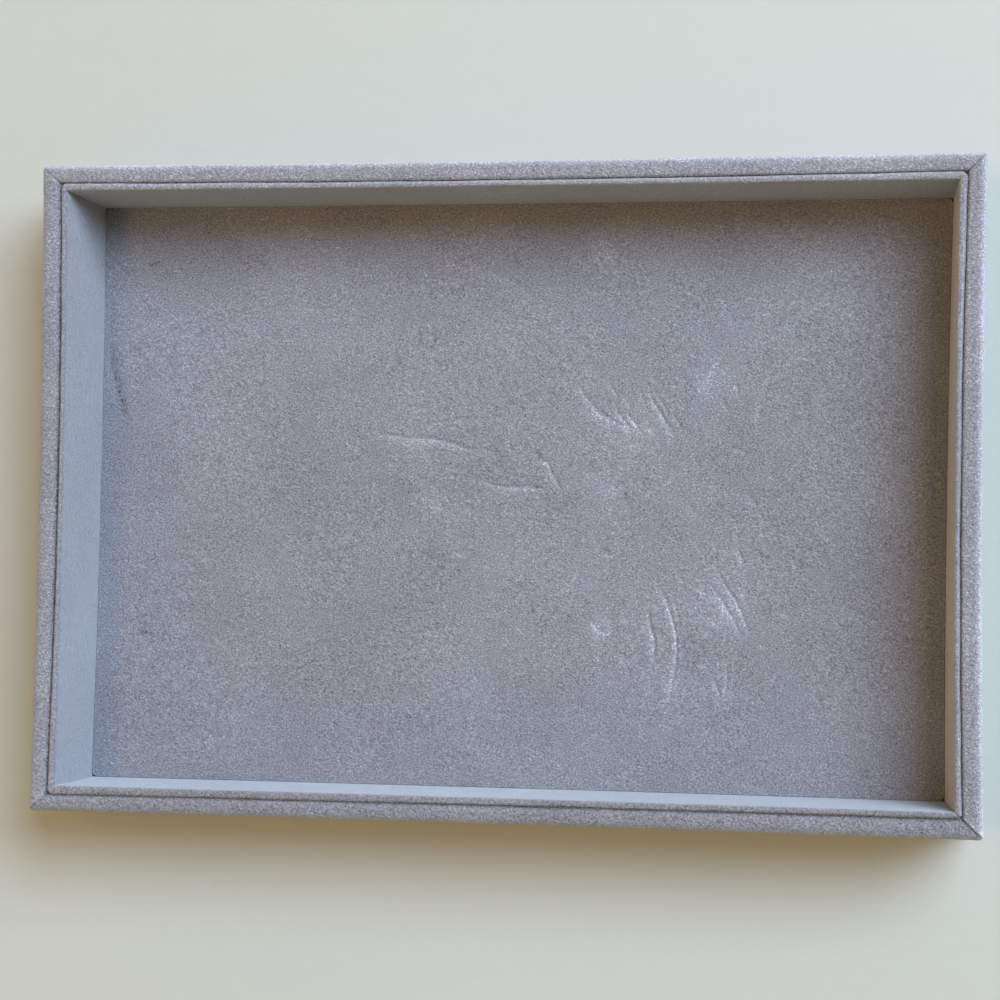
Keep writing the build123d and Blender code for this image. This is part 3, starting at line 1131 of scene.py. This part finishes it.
def floor_cloth(s):
    """Closed cloth round the floor's card and foam: creased top, rounded edge, side and turn-under."""
    half_x, half_y = PAD_HALF.x + s.pad_squeeze, PAD_HALF.y + s.pad_squeeze
    worn = on_plane(WORN_PART, PAD_HALF.z)
    focus = [(worn[0, axis], worn[1, axis], s.worn_grain) for axis in (0, 1)]
    x, y, inset = plan_grid(half_x, half_y, s.pad_corner, s.pad_edge, s.pad_grain, focus)
    rows, columns = x.shape
    flat = np.stack([x, y, np.zeros_like(x)], axis=-1)
    calm = np.clip(inset / EDGE_CALM, 0, 1) ** 2
    uneven = s.unevenness * wander(flat, FLOOR_WAVES, FLOOR_SEED)
    placed = bowed(flat + [0, 0, PAD_HALF.z])
    creases, rubbed = creased(placed[..., 0], placed[..., 1], PAD_HALF.z)
    relief = (swelled(x, y) + uneven + creases) * calm
    top = np.stack([x, y, PAD_HALF.z - drop_of(inset, s.pad_edge) + relief], axis=-1).reshape(-1, 3)
    ring = outline_of(rows, columns)
    outline = top[ring]
    side_top, under, inner_edge = PAD_HALF.z - s.pad_edge, s.pad_turn_under, s.pad_edge - CLOTH
    # Each ring from the outline down the side, under the card and back up inside the cloth: how far in
    # it lies, and its height. The last but one lies halfway round the inner edge's quarter circle.
    rings = [
        (0, (side_top + PAD_FOOT) / 2),
        (0, PAD_FOOT),
        (under / 2, PAD_FOOT),
        (under, PAD_FOOT),
        (under, CARD_FOOT),
        (CLOTH, CARD_FOOT),
        (CLOTH, side_top),
        (CLOTH + inner_edge * 0.3, PAD_HALF.z - CLOTH - inner_edge * 0.29),
        (s.pad_edge, PAD_HALF.z - CLOTH),
    ]
    points, quads, last = [top], [grid_faces(rows, columns)], ring
    total = len(top)
    for inset_by, height in rings:
        plan = shrunk(outline, half_x, half_y, s.pad_corner, inset_by)
        points.append(np.column_stack([plan, np.full(len(plan), height)]))
        current = total + np.arange(len(ring))
        quads.append(bridged(last, current))
        last, total = current, total + len(ring)
    points = bowed(np.concatenate(points))
    piece = new_piece("floor_cloth", points, np.concatenate(quads), [last[::-1]])
    # Painted light over the pad's rounded edge and down its side, against the dark line of shade there.
    mark(piece, "rubbed", rubbed + PAD_EDGE_PAINTED_LIGHT * np.clip(1 - inset / s.pad_edge, 0, 1), PAD_EDGE_PAINTED_LIGHT)
    mark(piece, "nap", np.ones_like(x), 1.0)
    return piece


class TRAY_OT_underside(bpy.types.Operator):
    """Lay the felt under the tray, drawn up a little between the covers' turn-ins"""

    bl_idname = "tray.underside"
    bl_label = "Underside Felt"

    def execute(self, context):
        s = sizes()
        inner_x, inner_y = HALF_LENGTH - TURN_IN, HALF_WIDTH - TURN_IN
        step = 0.5 * MM

        def between(x, y):
            """1 inside the turn-ins' edge and 0 over them, with a soft step: a logistic curve."""
            inside = np.minimum(inner_x - np.abs(x), inner_y - np.abs(y))
            return 1 / (1 + np.exp(-np.clip(inside / step, -40, 40)))

        felt = layer(
            "felt_sheet", FELT_HIGH.x, FELT_HIGH.y, s.felt_corner, s.felt_edge, FELT_SPACING,
            lambda x, y: COVER_Z + (FELT_HIGH.z - COVER_Z) * between(x, y),
            lambda x, y: FELT_LOW.z + s.felt_dip * between(x, y),
        )
        finished(felt, "underside_felt", plain_material("felt"))
        return {"FINISHED"}


# Materials

def new_material(name):
    """A node material with its tree and its Principled shader."""
    material = bpy.data.materials.new(name)
    material.use_nodes = True
    return material, material.node_tree, material.node_tree.nodes["Principled BSDF"]


def add(tree, kind, inputs=None, **settings):
    """A node of one kind with its settings and unlinked inputs."""
    node = tree.nodes.new(kind)
    for key, value in settings.items():
        setattr(node, key, value)
    for key, value in (inputs or {}).items():
        node.inputs[key].default_value = value
    return node


def link(tree, source, target):
    """Joins an output socket to an input socket."""
    tree.links.new(source, target)


# How the tufts lie: turned a little from X towards the front, and their stretch along each axis.
TUFT_TURN = -0.4
TUFT_STRETCH = (1.55, 1.07, 1.25)


def speckle_group():
    """Node group: fine, tuft and patch masks of a cut pile, from a position and the tufts per metre."""
    name = "Cut Pile"
    if name in bpy.data.node_groups:
        return bpy.data.node_groups[name]
    group = bpy.data.node_groups.new(name, "ShaderNodeTree")
    interface = group.interface
    interface.new_socket(name="Vector", in_out="INPUT", socket_type="NodeSocketVector")
    interface.new_socket(name="Tufts per Metre", in_out="INPUT", socket_type="NodeSocketFloat")
    for output in ("Fine", "Tuft", "Patch"):
        interface.new_socket(name=output, in_out="OUTPUT", socket_type="NodeSocketFloat")
    entry = group.nodes.new("NodeGroupInput")
    leave = group.nodes.new("NodeGroupOutput")
    combed = add(
        group, "ShaderNodeMapping", {"Rotation": (0.0, 0.0, TUFT_TURN), "Scale": TUFT_STRETCH},
        vector_type="TEXTURE",
    )
    link(group, entry.outputs["Vector"], combed.inputs["Vector"])
    # The mask's name, its coarseness in tufts, its noise detail and roughness.
    for output, coarseness, detail, roughness in (
        ("Fine", 0.62, 3.0, 0.75), ("Tuft", 2.4, 2.0, 0.6), ("Patch", 45.0, 4.0, 0.6),
    ):
        scale = add(group, "ShaderNodeMath", {1: coarseness}, operation="DIVIDE")
        link(group, entry.outputs["Tufts per Metre"], scale.inputs[0])
        noise = add(group, "ShaderNodeTexNoise", {"Detail": detail, "Roughness": roughness})
        link(group, combed.outputs["Vector"], noise.inputs["Vector"])
        link(group, scale.outputs[0], noise.inputs["Scale"])
        link(group, noise.outputs["Fac"], leave.inputs[output])
    return group


def placed_group(tree, group, inputs):
    """A node group placed in a material, reading object positions."""
    node = tree.nodes.new("ShaderNodeGroup")
    node.node_tree = group
    place = tree.nodes.new("ShaderNodeTexCoord")
    link(tree, place.outputs["Object"], node.inputs["Vector"])
    for key, value in inputs.items():
        node.inputs[key].default_value = value
    return node


def blended(tree, parts, middle):
    """A sum of masks, each centred on a half and weighted, about a middle value."""
    total = None
    for socket, weight in parts:
        scaled = add(tree, "ShaderNodeMath", {1: weight, 2: middle if total is None else 0.0},
                     operation="MULTIPLY_ADD")
        centred = add(tree, "ShaderNodeMath", {1: 0.5}, operation="SUBTRACT")
        link(tree, socket, centred.inputs[0])
        link(tree, centred.outputs[0], scaled.inputs[0])
        if total is not None:
            link(tree, total, scaled.inputs[2])
        total = scaled.outputs[0]
    return total


def colour_ramp(tree, value, stops):
    """A ramp from a value to a colour, with stops of place and linear colour."""
    ramp = tree.nodes.new("ShaderNodeValToRGB")
    elements = ramp.color_ramp.elements
    while len(elements) < len(stops):
        elements.new(0.5)
    for element, (place, colour) in zip(elements, stops):
        element.position = place
        element.color = (*colour, 1.0)
    link(tree, value, ramp.inputs["Fac"])
    return ramp.outputs["Color"]


def bumped(tree, shader, height, strength, distance):
    """A bump from a height mask into the shader's normal."""
    bump = add(tree, "ShaderNodeBump", {"Strength": strength, "Distance": distance})
    link(tree, height, bump.inputs["Height"])
    link(tree, bump.outputs["Normal"], shader.inputs["Normal"])


# How strongly the fine mask and the tuft mask show in the suede's colour.
FINE_SHARE, TUFT_SHARE = 2.4, 0.22
# How far along the suede's colours the tufts, and the wear and painted light, move the cloth, and how far
# the patches do.
NAP_RANGE, PATCH_RANGE = 0.34, 0.34
# The suede's ends: its deepest and palest colours, as shares of the nap down and the nap up. Painted shade
# in grooves and seams reaches the deepest, painted highlights on the outer edges the palest, and now and
# then a speck of nap reaches either.
DEEPEST, PALEST = 0.3, 1.7


def suede_material():
    """Napped suede: speckled tufts, paler and darker patches, a soft bloom at grazing angles, and the wear,
    painted shade and painted highlights that the pieces carry.
    """
    name = "napped_suede"
    if name in bpy.data.materials:
        return bpy.data.materials[name]
    f = finish_settings()
    material, tree, shader = new_material(name)
    pile = placed_group(tree, speckle_group(), {"Tufts per Metre": 1 / f.nap_size})
    texture = blended(tree, [(pile.outputs["Fine"], FINE_SHARE), (pile.outputs["Tuft"], TUFT_SHARE)], 0.0)
    nap = add(tree, "ShaderNodeAttribute", attribute_name="nap")
    # This attribute brings in painted shade and painted highlights, together with real wear of the nap.
    worn = add(tree, "ShaderNodeAttribute", attribute_name="rubbed")
    shade = blended(tree, [(pile.outputs["Patch"], PATCH_RANGE)], 0.5)
    for first, second in ((texture, nap.outputs["Fac"]), (worn.outputs["Fac"], None)):
        part = add(tree, "ShaderNodeMath", {1: NAP_RANGE}, operation="MULTIPLY_ADD")
        link(tree, first, part.inputs[0])
        if second:
            link(tree, second, part.inputs[1])
        link(tree, shade, part.inputs[2])
        shade = part.outputs[0]
    # Deepest: painted shade and rare dark specks; palest: painted highlight and rare pale specks.
    deep = [DEEPEST * channel for channel in f.suede_dark]
    bloom = [PALEST * channel for channel in f.suede_pale]
    stops = [(0.0, deep), (0.12, f.suede_dark), (0.5, f.suede), (0.9, f.suede_pale), (1.0, bloom)]
    colour = colour_ramp(tree, shade, stops)
    link(tree, colour, shader.inputs["Base Color"])
    shader.inputs["Roughness"].default_value = 0.95
    shader.inputs["Specular IOR Level"].default_value = 0.15
    shader.inputs["Sheen Weight"].default_value = f.sheen
    shader.inputs["Sheen Roughness"].default_value = f.sheen_spread
    shader.inputs["Sheen Tint"].default_value = (*f.sheen_tint, 1.0)
    height = blended(tree, [(pile.outputs["Fine"], 1.0), (pile.outputs["Tuft"], 0.6)], 0.5)
    bumped(tree, shader, height, 1.0, 0.50 * MM)
    return material


# The plain finishes by the names of their colours: each one's name, the size of its grain in millimetres,
# its contrast, its roughness, and its bump's strength and depth in millimetres.
PLAIN_FINISHES = {
    "felt": ("pressed_felt", 0.7, 0.35, 0.98, 0.6, 0.25),
    "fibreboard": ("raw_fibreboard", 0.9, 0.22, 0.8, 0.3, 0.1),
    "card": ("grey_card", 1.2, 0.15, 0.85, 0.25, 0.05),
    "foam": ("thin_foam", 0.6, 0.25, 0.95, 0.8, 0.3),
    "table": ("pale_table", 3.0, 0.02, 0.55, 0.02, 0.05),
}


def plain_material(kind):
    """A dull finish speckled about the panel's colour of its kind, such as card, felt or foam."""
    name, size, contrast, roughness, bump, depth = PLAIN_FINISHES[kind]
    if name in bpy.data.materials:
        return bpy.data.materials[name]
    colour = getattr(stage_settings() if kind == "table" else finish_settings(), kind)
    material, tree, shader = new_material(name)
    grain = placed_group(tree, speckle_group(), {"Tufts per Metre": 1 / (size * MM)})
    shade = blended(tree, [(grain.outputs["Fine"], 0.9), (grain.outputs["Tuft"], 0.5)], 0.5)
    darker = [channel * (1 - contrast) for channel in colour]
    paler = [min(1.0, channel * (1 + contrast)) for channel in colour]
    ramp = colour_ramp(tree, shade, [(0.2, darker), (0.5, list(colour)), (0.8, paler)])
    link(tree, ramp, shader.inputs["Base Color"])
    shader.inputs["Roughness"].default_value = roughness
    bumped(tree, shader, grain.outputs["Fine"], bump, depth * MM)
    return material


class TRAY_OT_stage(bpy.types.Operator):
    """Set the table, the lights and the camera"""

    bl_idname = "tray.stage"
    bl_label = "Stage"

    def execute(self, context):
        view = stage_settings()
        scene = context.scene
        scene.view_settings.view_transform = "Standard"
        lay_table()
        light_room(view)
        far = view.window_distance
        hang_light("window", view.window_toward, far, view.window_size, view.window_power, view.window)
        hang_light("side_window", view.side_toward, far, view.side_size, view.side_power, view.window)
        hang_light("lamp", view.lamp_toward, view.lamp_distance, view.lamp_size, view.lamp_power, view.lamp)
        camera = bpy.data.objects.new("camera", bpy.data.cameras.new("camera"))
        scene.collection.objects.link(camera)
        camera.location = view.camera_place
        camera.rotation_euler = [math.radians(value) for value in view.camera_turn]
        camera.data.sensor_width = SENSOR_MM
        camera.data.lens = view.lens
        camera.data.clip_start = 0.01
        camera.data.clip_end = 50.0
        scene.camera = camera
        return {"FINISHED"}


# Half the width of the table top in metres, and the mesh lines each way across it.
TABLE_HALF, TABLE_LINES = 4.0, 9


def lay_table():
    """A large pale table top under the tray, with the faintest mottling: a flat square grid."""
    lines = np.linspace(-TABLE_HALF, TABLE_HALF, TABLE_LINES)
    x, y = np.meshgrid(lines, lines)
    points = np.stack([x, y, np.zeros_like(x)], axis=-1).reshape(-1, 3)
    mesh = bpy.data.meshes.new("table_top")
    mesh.from_pydata(points.tolist(), [], grid_faces(TABLE_LINES, TABLE_LINES).tolist())
    table = bpy.data.objects.new("table_top", mesh)
    bpy.context.scene.collection.objects.link(table)
    mesh.materials.append(plain_material("table"))


def light_room(view):
    """Even fill from the world; the camera sees a pale backdrop instead."""
    world = bpy.data.worlds.new("room")
    bpy.context.scene.world = world
    world.use_nodes = True
    tree = world.node_tree
    tree.nodes.clear()
    fill = add(tree, "ShaderNodeBackground", {"Color": (*view.room, 1.0), "Strength": 1.0})
    seen = add(tree, "ShaderNodeBackground", {"Color": (*view.backdrop, 1.0), "Strength": 1.0})
    path = tree.nodes.new("ShaderNodeLightPath")
    mix = tree.nodes.new("ShaderNodeMixShader")
    out = tree.nodes.new("ShaderNodeOutputWorld")
    link(tree, path.outputs["Is Camera Ray"], mix.inputs[0])
    link(tree, fill.outputs[0], mix.inputs[1])
    link(tree, seen.outputs[0], mix.inputs[2])
    link(tree, mix.outputs[0], out.inputs["Surface"])


def hang_light(name, toward, distance, size, power, colour):
    """A round soft light at a distance in one direction, aimed at the tray."""
    toward = np.array(toward) / np.linalg.norm(toward)
    lamp = bpy.data.lights.new(name, "AREA")
    lamp.shape = "DISK"
    lamp.size = size
    lamp.energy = power
    lamp.color = colour
    light = bpy.data.objects.new(name, lamp)
    bpy.context.scene.collection.objects.link(light)
    light.location = (toward * distance).tolist()
    flat = math.hypot(toward[0], toward[1])
    light.rotation_euler = (0, math.atan2(flat, toward[2]), math.atan2(toward[1], toward[0]))


class TRAY_PT_panel(bpy.types.Panel):
    """Lists the tray's settings and steps"""

    bl_idname = "TRAY_PT_panel"
    bl_label = "Jewelry Tray"
    bl_space_type = "VIEW_3D"
    bl_region_type = "UI"
    bl_category = "Tray"

    def draw(self, context):
        for group in (context.scene.tray_sizes, context.scene.tray_finish, context.scene.tray_stage):
            box = self.layout.box()
            for name in group.bl_rna.properties.keys():
                if name not in ("rna_type", "name"):
                    box.prop(group, name)
        for operator in OPERATORS:
            self.layout.operator(operator.bl_idname)


GROUPS = {"tray_sizes": TraySizes, "tray_finish": TrayFinish, "tray_stage": TrayStage}
OPERATORS = (
    TRAY_OT_boards,
    TRAY_OT_wall_covers,
    TRAY_OT_liner_cards,
    TRAY_OT_liner_covers,
    TRAY_OT_floor_pad,
    TRAY_OT_underside,
    TRAY_OT_stage,
)


def register():
    """Registers the settings, the operators and the panel."""
    for name, group in GROUPS.items():
        bpy.utils.register_class(group)
        setattr(bpy.types.Scene, name, bpy.props.PointerProperty(type=group))
    for operator in OPERATORS:
        bpy.utils.register_class(operator)
    bpy.utils.register_class(TRAY_PT_panel)


def unregister():
    """Takes away what register added."""
    bpy.utils.unregister_class(TRAY_PT_panel)
    for operator in reversed(OPERATORS):
        bpy.utils.unregister_class(operator)
    for name, group in reversed(GROUPS.items()):
        delattr(bpy.types.Scene, name)
        bpy.utils.unregister_class(group)


def main():
    register()
    bpy.ops.tray.boards()
    bpy.ops.tray.wall_covers()
    bpy.ops.tray.liner_cards()
    bpy.ops.tray.liner_covers()
    bpy.ops.tray.floor_pad()
    bpy.ops.tray.underside()
    bpy.ops.tray.stage()


if __name__ == "__main__":
    main()
